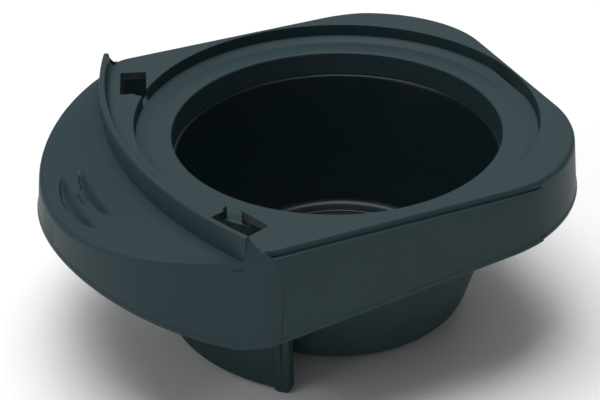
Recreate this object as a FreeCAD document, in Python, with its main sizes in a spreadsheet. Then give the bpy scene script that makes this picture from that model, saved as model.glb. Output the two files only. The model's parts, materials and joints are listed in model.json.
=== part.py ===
"""Sliding capsule holder of a household coffee machine.

The row frame: the origin is on the capsule bore's axis at the seat face, +Z up, +X towards the machine,
so the finger grip is at -X and the two slide rails run along X at -Y and +Y.  Millimetres.
"""
import FreeCAD, Part
import math
import os

import Sketcher

os.makedirs("parts", exist_ok=True)
doc = FreeCAD.newDocument("CapsuleHolder")

# ---------------------------------------------------------------- driving dimensions

DIMENSIONS = (
    ("bore_radius", 24.0, "capsule bore"),
    ("bore_depth", 3.75, "straight wall of the bore, down to the liner's rim"),
    ("rim_width", 5.3, "from the bore to the wall of the recess round the capsule's rim"),
    ("recess_depth", 2.35, "deck's top above the seat face"),
    ("seat_thickness", 1.5, "seat ring's plate"),
    ("rim_slope", 1.9, "sloping rim round the flat of the seat"),
    ("seat_rim", 0.55, "height of the sloping rim round the seat"),
    ("rebate", 0.4, "step that centres the seat ring in the collar"),
    ("neck_wall", 1.4, "wall of the bore below the seat"),
    ("collar_wall", 0.8, "wall round the recess"),
    ("deck_thickness", 1.2, "deck plate"),
    ("side_margin", 0.6, "deck beside the recess"),
    ("rail_width", 0.5, "slide rail's shelf beside the deck"),
    ("rear_margin", 0.45, "deck behind the recess"),
    ("rear_corner", 18.6, "plan radius of the rear corners"),
    ("grip_reach", 10.55, "grip ahead of the rib, at deck level"),
    ("front_bulge", 2.2, "front arc's radius over the half width"),
    ("side_draft", 4.5, "outward draft of sides and rear, degrees"),
    ("front_draft", 7.0, "outward draft of the front, degrees"),
    ("skirt_margin", 6.9, "how far the drafted walls are drawn past their lower edge"),
    ("skirt_wall", 1.2, "skirt's wall"),
    ("base_drop", 11.1, "skirt's lower edge below the deck at the bore's axis"),
    ("base_slope", 6.5, "rise of the skirt's lower edge towards the rear, degrees"),
    ("front_seam_inset", 8.9, "seam between grip and cheeks, short of the half width"),
    ("rear_seam_inset", 12.75, "seam between cheeks and deck shell, ahead of the skirt's rear"),
    ("rail_step", 1.0, "rail shelf below the deck"),
    ("seam_gap", 0.1, "open line at each seam"),
    ("arch_radius", 100.0, "arch of the grip's lower edge"),
    ("arch_drop", 9.8, "grip's lower edge below the deck, in the middle"),
    ("shoulder_drop", 1.45, "shoulder's height at the rib, below the deck's top"),
    ("shoulder_slope", 0.32, "fall of the shoulder away from the rib, in the middle"),
    ("grip_wall", 1.6, "shoulder's thickness"),
    ("rib_radius", 66.0, "rib's front face in plan"),
    ("rib_margin", 3.25, "rib's front face, ahead of the recess"),
    ("rib_wall", 1.0, "rib's thickness"),
    ("rib_inset", 1.0, "rib's ends, in from the deck's sides"),
    ("rib_rise", 2.2, "rib's top above the deck"),
    ("rib_root", 3.6, "rib's foot below the deck"),
    ("window_length", 6.96, "window along the rib"),
    ("window_width", 3.89, "window across the rib"),
    ("window_turn", 19.5, "window's turn from the Y axis, degrees"),
    ("window_margin", 2.767, "window's centre outside the recess"),
    ("window_bearing", 42.35, "window's centre, degrees round from the front"),
    ("window_notch", 1.0, "how deep a window cuts into the collar"),
    ("cup_shoulder", 3.39, "cup housing's outside under the seat ring, beyond the bore"),
    ("cup_wall", 1.05, "cup housing outside the liner's foot"),
    ("cup_base", 4.6, "cup housing's bottom below the liner's floor"),
    ("cup_corner", 3.8, "rounding of the cup's bottom edge"),
    ("liner_ledge", 0.3, "liner's rim inside the bore"),
    ("liner_taper", 5.9, "liner's inside, from its rim in to its floor"),
    ("liner_depth", 26.2, "liner's floor below the deck"),
    ("liner_wall", 1.2, "liner's wall and floor"),
    ("floor_ring", 2.6, "liner's floor round the outlet"),
    ("fit_gap", 0.05, "clearance between cup pieces"),
    ("apron_stand", 2.4, "apron's outside, beyond the bore"),
    ("apron_wall", 1.2, "apron's wall"),
    ("apron_drop", 0.2, "apron's lower edge below the cup's bottom"),
    ("apron_top", 8.0, "apron's upper edge below the deck"),
    ("apron_half_angle", 48.0, "apron's reach either side of the front, degrees"),
    ("bead_radius", 0.9, "bead down each end of the apron"),
    ("bead_drop", 0.8, "bead's lower end below the apron's edge"),
    ("bead_start", 1.12, "bead's upper end below the line where the apron leaves the cup"),
)

sizes = doc.addObject("Spreadsheet::Sheet", "sizes")
for row, (alias, value, note) in enumerate(DIMENSIONS, start=1):
    sizes.set(f"A{row}", note)
    sizes.set(f"B{row}", str(value))
    sizes.setAlias(f"B{row}", alias)
doc.recompute()

# ---------------------------------------------------------------- derived sizes, as expressions

DECK_TOP = "sizes.recess_depth"
DECK_UNDER = "(sizes.recess_depth - sizes.deck_thickness)"
NECK_END = "(-sizes.bore_depth)"
RECESS = "(sizes.bore_radius + sizes.rim_width)"
DECK_HALF = f"({RECESS} + sizes.side_margin)"
HALF_WIDTH = f"({DECK_HALF} + sizes.rail_width)"
REAR = f"({RECESS} + sizes.rear_margin)"
RIB_FRONT = f"({RECESS} + sizes.rib_margin)"
RIB_CENTRE = f"(sizes.rib_radius - {RIB_FRONT})"
RIB_HALF = f"({DECK_HALF} - sizes.rib_inset)"
RIB_END = f"({RIB_CENTRE} - sqrt(sizes.rib_radius ^ 2 - {RIB_HALF} ^ 2))"
FRONT_RADIUS = f"({HALF_WIDTH} + sizes.front_bulge)"
FRONT_CENTRE = f"({RIB_FRONT} + sizes.grip_reach - {FRONT_RADIUS})"
SKIRT_DEPTH = "(sizes.base_drop + sizes.skirt_margin)"
SKIRT_FLARE = f"({SKIRT_DEPTH} * tan(sizes.side_draft))"
FRONT_FLARE = f"({SKIRT_DEPTH} * tan(sizes.front_draft))"
FRONT_SEAM = f"({HALF_WIDTH} - sizes.front_seam_inset)"
REAR_SEAM = f"({REAR} - sizes.rear_seam_inset)"
WINDOW_REACH = f"({RECESS} + sizes.window_margin)"
CUP_TOP = "(sizes.bore_radius + sizes.cup_shoulder)"
LINER_TOP = "(sizes.bore_radius - sizes.liner_ledge)"
LINER_FLOOR = f"({LINER_TOP} - sizes.liner_taper)"
OUTLET = f"({LINER_FLOOR} - sizes.floor_ring)"
APRON_RADIUS = "(sizes.bore_radius + sizes.apron_stand)"
FAR = 80.0                # reach of the open ends of cutting tools
ABOVE = 1.0               # how far a window's cutting tool stands above the deck
STATIONS = 9              # sections across the space over the shoulder
LEVELLING = 3             # power by which the shoulder levels out towards its ends
CORNER_LIMIT = 1.2        # largest rounding of the cup's foot, in widths of its flat bottom
TOLERANCE = 1e-3          # for finding an edge by its size


def bind(item, links):
    """Tie properties of one object to expressions."""
    for name, text in links.items():
        item.setExpression(name, text)


def box(name, low, high):
    """Box between two corners, each given as three expressions."""
    item = doc.addObject("Part::Box", name)
    bind(item, {"Length": f"{high[0]} - ({low[0]})", "Width": f"{high[1]} - ({low[1]})",
                "Height": f"{high[2]} - ({low[2]})", "Placement.Base.x": str(low[0]),
                "Placement.Base.y": str(low[1]), "Placement.Base.z": str(low[2])})
    return item


def cylinder(name, radius, bottom, top, x="0", y="0"):
    """Upright cylinder."""
    item = doc.addObject("Part::Cylinder", name)
    bind(item, {"Radius": radius, "Height": f"{top} - ({bottom})", "Placement.Base.x": str(x),
                "Placement.Base.y": str(y), "Placement.Base.z": str(bottom)})
    return item


def cut(name, base, *tools):
    """Base less every tool, one after another."""
    for number, tool in enumerate(tools, start=1):
        item = doc.addObject("Part::Cut", name if number == len(tools) else f"{name}_step{number}")
        item.Base = base
        item.Tool = tool
        base = item
    return base


def common(name, first, second):
    """What two solids share."""
    item = doc.addObject("Part::Common", name)
    item.Base = first
    item.Tool = second
    return item


def fuse(name, *parts):
    """Several solids joined into one, with the seams between them removed."""
    item = doc.addObject("Part::MultiFuse", name)
    item.Shapes = list(parts)
    item.Refine = True
    return item


def origin_plane(body, role):
    """One of a body's own origin planes."""
    return next(item for item in body.Origin.OriginFeatures if item.Role == role)


def sketch_on(body, name, role):
    """Empty sketch on one of a body's origin planes."""
    sketch = body.newObject("Sketcher::SketchObject", name)
    sketch.AttachmentSupport = (origin_plane(body, role), [""])
    sketch.MapMode = "FlatFace"
    return sketch


def value(text):
    """Present value of an expression, for drawing a sketch close to its solution."""
    return float(sizes.evalExpression(text))


def revolved(name, corners):
    """Turned body: a closed polygon of (radius, height) expressions, revolved about +Z."""
    body = doc.addObject("PartDesign::Body", name)
    sketch = sketch_on(body, f"{name}_profile", "XZ_Plane")
    spots = [FreeCAD.Vector(value(radius), value(height), 0) for radius, height in corners]
    count = len(spots)
    for index in range(count):
        sketch.addGeometry(Part.LineSegment(spots[index], spots[(index + 1) % count]), False)
    for index in range(count):
        after = (index + 1) % count
        sketch.addConstraint(Sketcher.Constraint("Coincident", index, 2, after, 1))
    for index, (radius, height) in enumerate(corners):
        across = sketch.addConstraint(Sketcher.Constraint("DistanceX", index, 1, spots[index].x))
        sketch.setExpression(f"Constraints[{across}]", radius)
        upward = sketch.addConstraint(Sketcher.Constraint("DistanceY", index, 1, spots[index].y))
        sketch.setExpression(f"Constraints[{upward}]", height)
    turn = body.newObject("PartDesign::Revolution", f"{name}_turn")
    turn.Profile = sketch
    turn.ReferenceAxis = (sketch, ["V_Axis"])
    turn.Angle = 360.0
    sketch.Visibility = False
    doc.recompute()
    return body


def plan_outline(body, name, level, inset, flare, front_flare):
    """Plan of the holder at one level: two straight sides, rounded rear corners, arched front."""
    sketch = sketch_on(body, name, "XY_Plane")
    sketch.setExpression("AttachmentOffset.Base.z", level)
    half_width = f"{HALF_WIDTH} + {flare} - {inset}"
    rear = f"{REAR} + {flare} - {inset}"
    corner = f"sizes.rear_corner - {inset}"
    front = f"{FRONT_RADIUS} + {front_flare} - {inset}"
    w, x, c, r = value(half_width), value(rear), value(corner), value(front)
    centre_x = -value(FRONT_CENTRE)
    front_x = centre_x - math.sqrt(r * r - w * w)
    half = math.sqrt(0.5)
    near = [FreeCAD.Vector(front_x, -w, 0), FreeCAD.Vector(x - c, -w, 0), FreeCAD.Vector(x, c - w, 0)]
    far = [FreeCAD.Vector(spot.x, -spot.y, 0) for spot in near]
    near_mid = FreeCAD.Vector(x - c + c * half, -w + c - c * half, 0)
    far_mid = FreeCAD.Vector(near_mid.x, -near_mid.y, 0)
    side_near = sketch.addGeometry(Part.LineSegment(near[0], near[1]), False)
    turn_near = sketch.addGeometry(Part.Arc(near[1], near_mid, near[2]), False)
    back = sketch.addGeometry(Part.LineSegment(near[2], far[2]), False)
    turn_far = sketch.addGeometry(Part.Arc(far[2], far_mid, far[1]), False)
    side_far = sketch.addGeometry(Part.LineSegment(far[1], far[0]), False)
    arch = sketch.addGeometry(Part.Arc(far[0], FreeCAD.Vector(centre_x - r, 0, 0), near[0]), False)
    for first, start, second, end in (
            (side_near, 2, turn_near, 1), (turn_near, 2, back, 1), (back, 2, turn_far, 1),
            (turn_far, 2, side_far, 1)):
        sketch.addConstraint(Sketcher.Constraint("Tangent", first, start, second, end))
    sketch.addConstraint(Sketcher.Constraint("Coincident", side_far, 2, arch, 1))
    sketch.addConstraint(Sketcher.Constraint("Coincident", arch, 2, side_near, 1))
    sketch.addConstraint(Sketcher.Constraint("Horizontal", side_near))
    sketch.addConstraint(Sketcher.Constraint("Horizontal", side_far))
    sketch.addConstraint(Sketcher.Constraint("Equal", turn_near, turn_far))
    sketch.addConstraint(Sketcher.Constraint("Vertical", back))
    for kind, places, text in (
            ("DistanceY", (side_near, 1), f"-({half_width})"),
            ("DistanceY", (side_far, 2), half_width), ("DistanceX", (back, 1), rear),
            ("Radius", (turn_near,), corner), ("Radius", (arch,), front),
            ("DistanceX", (arch, 3), f"-{FRONT_CENTRE}"), ("DistanceY", (arch, 3), "0")):
        number = sketch.addConstraint(Sketcher.Constraint(kind, *places, value(text)))
        sketch.setExpression(f"Constraints[{number}]", text)
    sketch.Visibility = False
    return sketch


def drafted_block(name, inset):
    """The holder's whole envelope, drafted outward below the deck and set in by a wall."""
    body = doc.addObject("PartDesign::Body", name)
    upper = plan_outline(body, f"{name}_upper", DECK_TOP, inset, "0", "0")
    lower_level = f"{DECK_TOP} - {SKIRT_DEPTH}"
    lower = plan_outline(body, f"{name}_lower", lower_level, inset, SKIRT_FLARE, FRONT_FLARE)
    doc.recompute()
    loft = body.newObject("PartDesign::AdditiveLoft", f"{name}_loft")
    loft.Profile = upper
    loft.Sections = [lower]
    loft.Ruled = True
    doc.recompute()
    return body


def section_plane_cut(name):
    """Everything below the sloping lower edge of cheeks and rear skirt."""
    item = doc.addObject("Part::Box", name)
    slope = "sizes.base_slope"
    edge_level = f"{DECK_TOP} - sizes.base_drop"
    bind(item, {"Length": f"{2 * FAR}", "Width": f"{2 * FAR}", "Height": f"{FAR}",
                "Placement.Rotation.Angle": slope,
                "Placement.Base.x": f"-{FAR} * (cos({slope}) - sin({slope}))",
                "Placement.Base.z": f"{edge_level} - {FAR} * (cos({slope}) + sin({slope}))"})
    item.Placement.Rotation.Axis = FreeCAD.Vector(0, -1, 0)
    item.Placement.Base.y = -FAR
    return item


def space_above_shoulder(name, lowered):
    """Open space over the shoulder, which falls from the rib and levels out towards its two ends."""
    reach = value(HALF_WIDTH) + value(SKIRT_FLARE)
    foot = value("sizes.recess_depth - sizes.shoulder_drop") - lowered
    slope = value("sizes.shoulder_slope")
    radius = value("sizes.rib_radius")
    overlap = value("sizes.rib_wall") / 2
    run = value(RIB_FRONT)
    sections = []
    for station in range(STATIONS):
        y = reach * (2 * station / (STATIONS - 1) - 1)
        fall = slope * (1 - abs(y / reach) ** LEVELLING)
        back = value(RIB_CENTRE) - math.sqrt(radius * radius - y * y) + overlap
        corners = [FreeCAD.Vector(back, y, foot + fall * overlap),
                   FreeCAD.Vector(back - run, y, foot - fall * (run - overlap)),
                   FreeCAD.Vector(back - run, y, FAR), FreeCAD.Vector(back, y, FAR)]
        sections.append(Part.makePolygon(corners + corners[:1]))
    item = doc.addObject("Part::Feature", name)
    item.Shape = Part.makeLoft(sections, True, False)
    return item


# ---------------------------------------------------------------- shared envelope and cutting tools

envelope = drafted_block("envelope", "0")
hollow = drafted_block("hollow", "sizes.skirt_wall")
skirt_wall = cut("skirt_wall", envelope, hollow)
below_edge = section_plane_cut("below_edge")
LOW = -FAR
RAIL = f"({DECK_TOP} - sizes.rail_step)"


def side_box(name, x_low, x_high, z_low, z_high, sign, inner):
    """Box on one side of the holder, outside a given half width."""
    if sign > 0:
        return box(name, (x_low, inner, z_low), (x_high, FAR, z_high))
    return box(name, (x_low, LOW, z_low), (x_high, f"-{inner}", z_high))


# ---------------------------------------------------------------- deck shell

deck_slab = common("deck_slab", envelope, box("deck_level", (LOW, LOW, DECK_UNDER), (FAR, FAR, DECK_TOP)))
rail_cuts = [side_box(f"rail_cut_{side}", LOW, REAR_SEAM, LOW, FAR, sign, DECK_HALF)
             for side, sign in (("left", 1), ("right", -1))]
rib_back = cylinder("rib_back", "sizes.rib_radius - sizes.rib_wall", LOW, FAR, x=RIB_CENTRE)
deck_plan = common("deck_plan", cut("deck_sides", deck_slab, *rail_cuts), rib_back)
windows = []
notches = []
window_x = f"{WINDOW_REACH} * cos(sizes.window_bearing)"
window_y = f"{WINDOW_REACH} * sin(sizes.window_bearing)"
for side, sign in (("left", 1), ("right", -1)):
    for kind, depth, group in (("window", "sizes.recess_depth", windows),
                               ("notch", "sizes.window_notch", notches)):
        opening = doc.addObject("Part::Box", f"{kind}_{side}")
        turn = f"{-sign} * sizes.window_turn"
        across = "sizes.window_width / 2"
        along = "sizes.window_length / 2"
        bind(opening, {
            "Length": "sizes.window_width", "Width": "sizes.window_length", "Height": f"{depth} + {ABOVE}",
            "Placement.Rotation.Angle": turn,
            "Placement.Base.x": f"-{window_x} - {across} * cos({turn}) + {along} * sin({turn})",
            "Placement.Base.y": f"{sign} * {window_y} - {across} * sin({turn}) - {along} * cos({turn})",
            "Placement.Base.z": f"{DECK_TOP} - {depth}"})
        opening.Placement.Rotation.Axis = FreeCAD.Vector(0, 0, 1)
        group.append(opening)
recess = cylinder("recess", RECESS, LOW, FAR)
deck_plate = cut("deck_plate", deck_plan, recess, *windows)
collar_outside = cylinder("collar_outside", f"{RECESS} + sizes.collar_wall", "-sizes.rebate", DECK_TOP)
deck_strip = box("deck_strip", (LOW, f"-{DECK_HALF}", LOW), (FAR, DECK_HALF, FAR))
collar_band = common("collar_band", cut("collar_ring", collar_outside, recess), deck_strip)
collar = common("collar", collar_band, envelope)
rear_region = box("rear_region", (REAR_SEAM, LOW, LOW), (FAR, FAR, DECK_UNDER))
over_seat = cylinder("over_seat", RECESS, "0", FAR)
rear_skirt = cut("rear_skirt", common("rear_wall", skirt_wall, rear_region), below_edge, over_seat)
deck_shell = cut("deck_shell", fuse("deck_joined", deck_plate, collar, rear_skirt), *notches)

# ---------------------------------------------------------------- seat ring, liner and cup

neck_outside = "(sizes.bore_radius + sizes.neck_wall)"
seat_under = "(-sizes.seat_thickness)"
ring_outside = f"({RECESS} + sizes.collar_wall)"
rim_radius = f"({RECESS} - sizes.fit_gap)"
seat_flat = f"({RECESS} - sizes.rim_slope)"
seat_turned = revolved("seat_turned", (
    ("sizes.bore_radius", "0"), (seat_flat, "0"), (rim_radius, "sizes.seat_rim"),
    (rim_radius, "-sizes.rebate"), (ring_outside, "-sizes.rebate"), (ring_outside, seat_under),
    (neck_outside, seat_under), (neck_outside, NECK_END), ("sizes.bore_radius", NECK_END)))
wall_at_seat = "(sizes.recess_depth * tan(sizes.side_draft) - sizes.skirt_wall - sizes.fit_gap)"
ring_side = f"({HALF_WIDTH} + {wall_at_seat})"
ring_rear = f"({REAR} + {wall_at_seat})"
ring_strip = box("ring_strip", (LOW, f"-{ring_side}", LOW), (ring_rear, ring_side, FAR))
seat_ring = common("seat_ring", seat_turned, ring_strip)

liner_floor = "(sizes.recess_depth - sizes.liner_depth)"
liner_under = f"({liner_floor} - sizes.liner_wall)"
cup_liner = revolved("cup_liner", (
    (LINER_TOP, NECK_END), (f"{LINER_TOP} + sizes.liner_wall", NECK_END),
    (f"{LINER_FLOOR} + sizes.liner_wall", liner_under),
    (OUTLET, liner_under), (OUTLET, liner_floor),
    (LINER_FLOOR, liner_floor)))

cup_bottom = f"({liner_floor} - sizes.cup_base)"
cup_narrow = f"({LINER_FLOOR} + sizes.liner_wall + sizes.cup_wall)"
CUP_LEAN = f"(({CUP_TOP} - {cup_narrow}) / ({seat_under} - {liner_under}))"
cup_foot = f"({CUP_TOP} - ({seat_under} - {cup_bottom}) * {CUP_LEAN})"
cup_turned = revolved("cup_turned", (
    (f"{neck_outside} + sizes.fit_gap", seat_under), (CUP_TOP, seat_under),
    (cup_foot, cup_bottom), (OUTLET, cup_bottom),
    (OUTLET, f"{liner_under} - sizes.fit_gap"),
    (f"{LINER_FLOOR} + sizes.liner_wall + sizes.fit_gap",
     f"{liner_under} - sizes.fit_gap"),
    (f"{LINER_TOP} + sizes.liner_wall + sizes.fit_gap", NECK_END),
    (f"{neck_outside} + sizes.fit_gap", NECK_END)))


def rim_edge(shape, radius, level):
    """Name of the full circle of one radius at one height."""
    for number, edge in enumerate(shape.Edges, start=1):
        curve = edge.Curve
        if not isinstance(curve, Part.Circle):
            continue
        if abs(curve.Radius - radius) < TOLERANCE and abs(curve.Center.z - level) < TOLERANCE:
            return f"Edge{number}"
    raise RuntimeError(f"no circle of radius {radius} at {level}")


cup_foot_edge = rim_edge(cup_turned.Shape, value(cup_foot), value(cup_bottom))
cup_solid = cup_turned.Tip
cup_corner = cup_turned.newObject("PartDesign::Fillet", "cup_corner")
cup_corner.Base = (cup_solid, [cup_foot_edge])
cup_corner.setExpression("Radius", f"min(sizes.cup_corner; {CORNER_LIMIT} * ({cup_foot} - {OUTLET}))")
cup_turned.Tip = cup_corner

# ---------------------------------------------------------------- drip apron

apron_low = f"({cup_bottom} - sizes.apron_drop)"
apron_high = "(sizes.recess_depth - sizes.apron_top)"
apron_inside = f"({APRON_RADIUS} - sizes.apron_wall)"
leaves_cup = f"({seat_under} - ({CUP_TOP} - {apron_inside}) / {CUP_LEAN})"
apron_turned = revolved("apron_turned", (
    (APRON_RADIUS, apron_low), (APRON_RADIUS, apron_high),
    (f"{CUP_TOP} - ({seat_under} - {apron_high}) * {CUP_LEAN}", apron_high),
    (apron_inside, leaves_cup), (apron_inside, apron_low)))
apron_sector = cylinder("apron_sector", str(FAR), LOW, FAR)
bind(apron_sector, {"Angle": "2 * sizes.apron_half_angle",
                    "Placement.Rotation.Angle": "180 - sizes.apron_half_angle"})
apron_sector.Placement.Rotation.Axis = FreeCAD.Vector(0, 0, 1)
apron_pieces = [common("apron_wall", apron_turned, apron_sector)]
bead_low = f"({apron_low} - sizes.bead_drop + sizes.bead_radius)"
for side, sign in (("left", 1), ("right", -1)):
    bead_x = f"-({apron_inside} + sizes.bead_radius) * cos(sizes.apron_half_angle)"
    bead_y = f"{sign} * ({apron_inside} + sizes.bead_radius) * sin(sizes.apron_half_angle)"
    bead_high = f"({leaves_cup} - sizes.bead_start)"
    apron_pieces.append(cylinder(f"bead_{side}", "sizes.bead_radius", bead_low, bead_high, bead_x, bead_y))
    tip = doc.addObject("Part::Sphere", f"bead_tip_{side}")
    bind(tip, {"Radius": "sizes.bead_radius", "Placement.Base.x": bead_x,
               "Placement.Base.y": bead_y, "Placement.Base.z": bead_low})
    apron_pieces.append(tip)
drip_apron = fuse("drip_apron", *apron_pieces)

# ---------------------------------------------------------------- stop rib

rib_low = f"({DECK_TOP} - sizes.rib_root)"
rib_high = f"({DECK_TOP} + sizes.rib_rise)"
rib_face = cylinder("rib_face", "sizes.rib_radius", rib_low, rib_high, x=RIB_CENTRE)
rib_span = box("rib_span", (LOW, f"-{RIB_HALF}", LOW), ("0", RIB_HALF, FAR))
stop_rib = common("stop_rib", cut("rib_arc", rib_face, rib_back), rib_span)

# ---------------------------------------------------------------- grip shell

front_region = box("front_region", (LOW, LOW, LOW), (f"-{FRONT_SEAM}", FAR, FAR))
grip_block = common("grip_block", envelope, front_region)
over_shoulder = space_above_shoulder("over_shoulder", 0.0)
over_ceiling = space_above_shoulder("over_ceiling", value("sizes.grip_wall"))
rib_front_face = cylinder("rib_front_face", "sizes.rib_radius", LOW, FAR, x=RIB_CENTRE)
behind_rib = common("behind_rib", hollow, rib_front_face)
rib_room = box("rib_room", (LOW, f"-{RIB_HALF}", rib_low), ("0", RIB_HALF, FAR))
rib_slot = common("rib_slot", rib_room, rib_front_face)
grip_hollow = cut("grip_hollow", hollow, over_ceiling)
over_rail = box("over_rail", (RIB_END, LOW, RAIL), ("0", FAR, FAR))
under_arch = doc.addObject("Part::Cylinder", "under_arch")
bind(under_arch, {"Radius": "sizes.arch_radius", "Height": f"{FAR}",
                  "Placement.Base.z": f"{DECK_TOP} - sizes.arch_drop - sizes.arch_radius"})
under_arch.Placement.Rotation = FreeCAD.Rotation(FreeCAD.Vector(0, -1, 0), 90)
deck_space = box("deck_space", (LOW, f"-{DECK_HALF}", DECK_UNDER), ("0", DECK_HALF, FAR))
deck_corner = common("deck_corner", deck_space, rib_back)
grip_shell = cut("grip_shell", grip_block, behind_rib, rib_slot, grip_hollow, over_shoulder, over_rail,
                 deck_corner, under_arch, below_edge)

# ---------------------------------------------------------------- side cheeks

cheeks = {}
over_cheek = box("over_cheek", (LOW, f"-{DECK_HALF}", "-sizes.rebate"), (FAR, DECK_HALF, FAR))
for side, sign in (("left", 1), ("right", -1)):
    span = side_box(f"cheek_span_{side}", f"-{FRONT_SEAM} + sizes.seam_gap",
                    f"{REAR_SEAM} - sizes.seam_gap", LOW, RAIL, sign, "sizes.bore_radius")
    wall = common(f"cheek_wall_{side}", skirt_wall, span)
    cheeks[side] = cut(f"cheek_{side}", wall, over_cheek, below_edge)

doc.recompute()

# ---------------------------------------------------------------- check and export

PIECES = {
    "deck_shell": deck_shell,
    "seat_ring": seat_ring,
    "cup_liner": cup_liner,
    "cup_housing": cup_turned,
    "drip_apron": drip_apron,
    "stop_rib": stop_rib,
    "grip_shell": grip_shell,
    "side_cheek_left": cheeks["left"],
    "side_cheek_right": cheeks["right"],
}

failed = [item.Name for item in doc.Objects if {"Invalid", "Error"} & set(item.State)]
if failed:
    raise RuntimeError(f"objects failed: {failed}")
for label, piece in PIECES.items():
    piece.Label = label
    if piece.Shape.isNull() or not piece.Shape.isValid():
        raise RuntimeError(f"{label} has no valid shape")
    if len(piece.Shape.Solids) != 1:
        raise RuntimeError(f"{label} is {len(piece.Shape.Solids)} solids")
for label, piece in PIECES.items():
    piece.Shape.exportStep(f"parts/{label}.step")
    print(label, round(piece.Shape.Volume, 1))
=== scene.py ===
"""Capsule holder of a household coffee machine: the finished looks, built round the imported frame.

Row frame, metres: the bore's axis is Z, the seat face is z = 0, the finger grip points to -X.
Depths are measured downwards from the deck's top, as on the moulding's drawing.
"""
import json
import math

import bmesh
import bpy
from bpy.props import FloatProperty, FloatVectorProperty, IntProperty, PointerProperty
from bpy.types import Operator, Panel, PropertyGroup
from mathutils import Matrix, Vector


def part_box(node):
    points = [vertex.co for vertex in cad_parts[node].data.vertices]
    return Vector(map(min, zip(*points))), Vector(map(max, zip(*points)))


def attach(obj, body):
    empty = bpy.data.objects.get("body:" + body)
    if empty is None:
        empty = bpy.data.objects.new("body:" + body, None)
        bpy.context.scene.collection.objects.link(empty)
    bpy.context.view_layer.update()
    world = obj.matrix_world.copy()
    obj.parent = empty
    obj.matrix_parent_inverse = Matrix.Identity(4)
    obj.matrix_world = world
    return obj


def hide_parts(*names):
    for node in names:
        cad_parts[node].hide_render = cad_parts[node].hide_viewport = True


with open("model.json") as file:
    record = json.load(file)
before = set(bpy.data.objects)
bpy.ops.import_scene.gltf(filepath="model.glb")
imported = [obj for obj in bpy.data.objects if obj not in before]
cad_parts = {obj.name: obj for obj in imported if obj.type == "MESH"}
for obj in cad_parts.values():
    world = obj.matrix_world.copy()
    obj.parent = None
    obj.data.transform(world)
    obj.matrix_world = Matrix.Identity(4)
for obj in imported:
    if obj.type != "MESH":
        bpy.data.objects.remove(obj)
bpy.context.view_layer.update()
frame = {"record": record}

bl_info = {
    "name": "Capsule Holder",
    "version": (1, 0, 0),
    "blender": (4, 5, 0),
    "location": "View3D > Sidebar > Holder",
    "description": "Models a moulded capsule holder round its packed frame",
    "category": "Add Mesh",
}

MM = 0.001
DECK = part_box("deck_shell")[1].z
RIB_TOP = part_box("stop_rib")[1].z - DECK
CUP_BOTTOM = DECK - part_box("cup_housing")[0].z
LINER_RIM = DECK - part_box("cup_liner")[1].z
APRON_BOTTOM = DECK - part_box("drip_apron")[0].z
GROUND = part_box("drip_apron")[0].z
BORE = next(mount for mount in frame["record"]["mounts"] if mount["name"] == "capsule_bore")
BORE_RADIUS = BORE["dims"]["r_mm"] * MM

# Fits and fine roundings that stay as they are when a size is changed.
CLEAR = 0.05 * MM         # clearance between two mouldings
COLLAR_SINK = 0.4 * MM    # how far the collar round the recess reaches below the seat
CUT_PAST = 5 * MM         # how far a turned cutting tool reaches past what it cuts
NOTCH_REACH = 1.9 * MM    # a notch's length across the collar
NOTCH_OUT = 0.25 * MM     # its middle's distance outside the recess
EDGE_SOFT = 0.2 * MM      # rounding of the slide shelf's edge
MERGE = 1e-6              # points nearer to one another than this are one point
SLIVER = 1e-7             # shortest edge that is kept
SAME = 1e-9               # places nearer than this are level with one another
BREAK_ANGLE = math.radians(40.0)     # edges sharper than this are rounded
SMOOTH_ANGLE = math.radians(32.0)    # edges flatter than this are shaded as one surface

# Bead along a lower edge: share of its height, and share of how far it stands out.
LIP_PROFILE = ((1.25, 0.0), (1.02, 0.75), (0.8, 1.0), (0.25, 1.0), (0.08, 0.7), (0.0, 0.0))

# Scales of the patterns in the finishes, in cycles for each metre.
SPARK_GRAIN = 5200.0
FINE_GRAIN = 1500.0
FLOW_MARKS = 55.0
DRAW_LINES = 90.0
LINER_GRAIN = 2600.0
FLOOR_CLOUD = 6.0

SKY_STRENGTH = 0.2
# Soft boxes: name, place, target, width and height in metres, and power in watts.
LIGHTS = (
    ("top_box", (-0.05, 0.10, 0.75), (0, 0, 0), (0.6, 0.6), 6.8),
    ("back_box", (0.45, 0.75, 0.62), (0, 0, 0), (0.9, 0.6), 1.1),
    ("left_box", (-0.60, -0.05, 0.30), (0, 0, 0), (0.4, 0.5), 0.7),
    ("front_box", (-0.25, -0.60, -0.004), (0, 0, -0.012), (0.7, 0.045), 0.55),
)


# ---------------------------------------------------------------- sizes and colours

def length(name, description, millimetres):
    """Length property, its default given in millimetres."""
    return FloatProperty(name=name, description=description, default=millimetres * MM, unit="LENGTH")


def turn(name, description, degrees):
    """Angle property, its default given in degrees."""
    return FloatProperty(name=name, description=description, default=math.radians(degrees),
                         subtype="ANGLE")


def amount(name, description, default):
    """Plain number from 0 to 1."""
    return FloatProperty(name=name, description=description, default=default, min=0.0, max=1.0)


def colour(name, description, default):
    """Linear colour."""
    return FloatVectorProperty(name=name, description=description, default=default, subtype="COLOR",
                               min=0.0, max=1.0)


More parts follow.
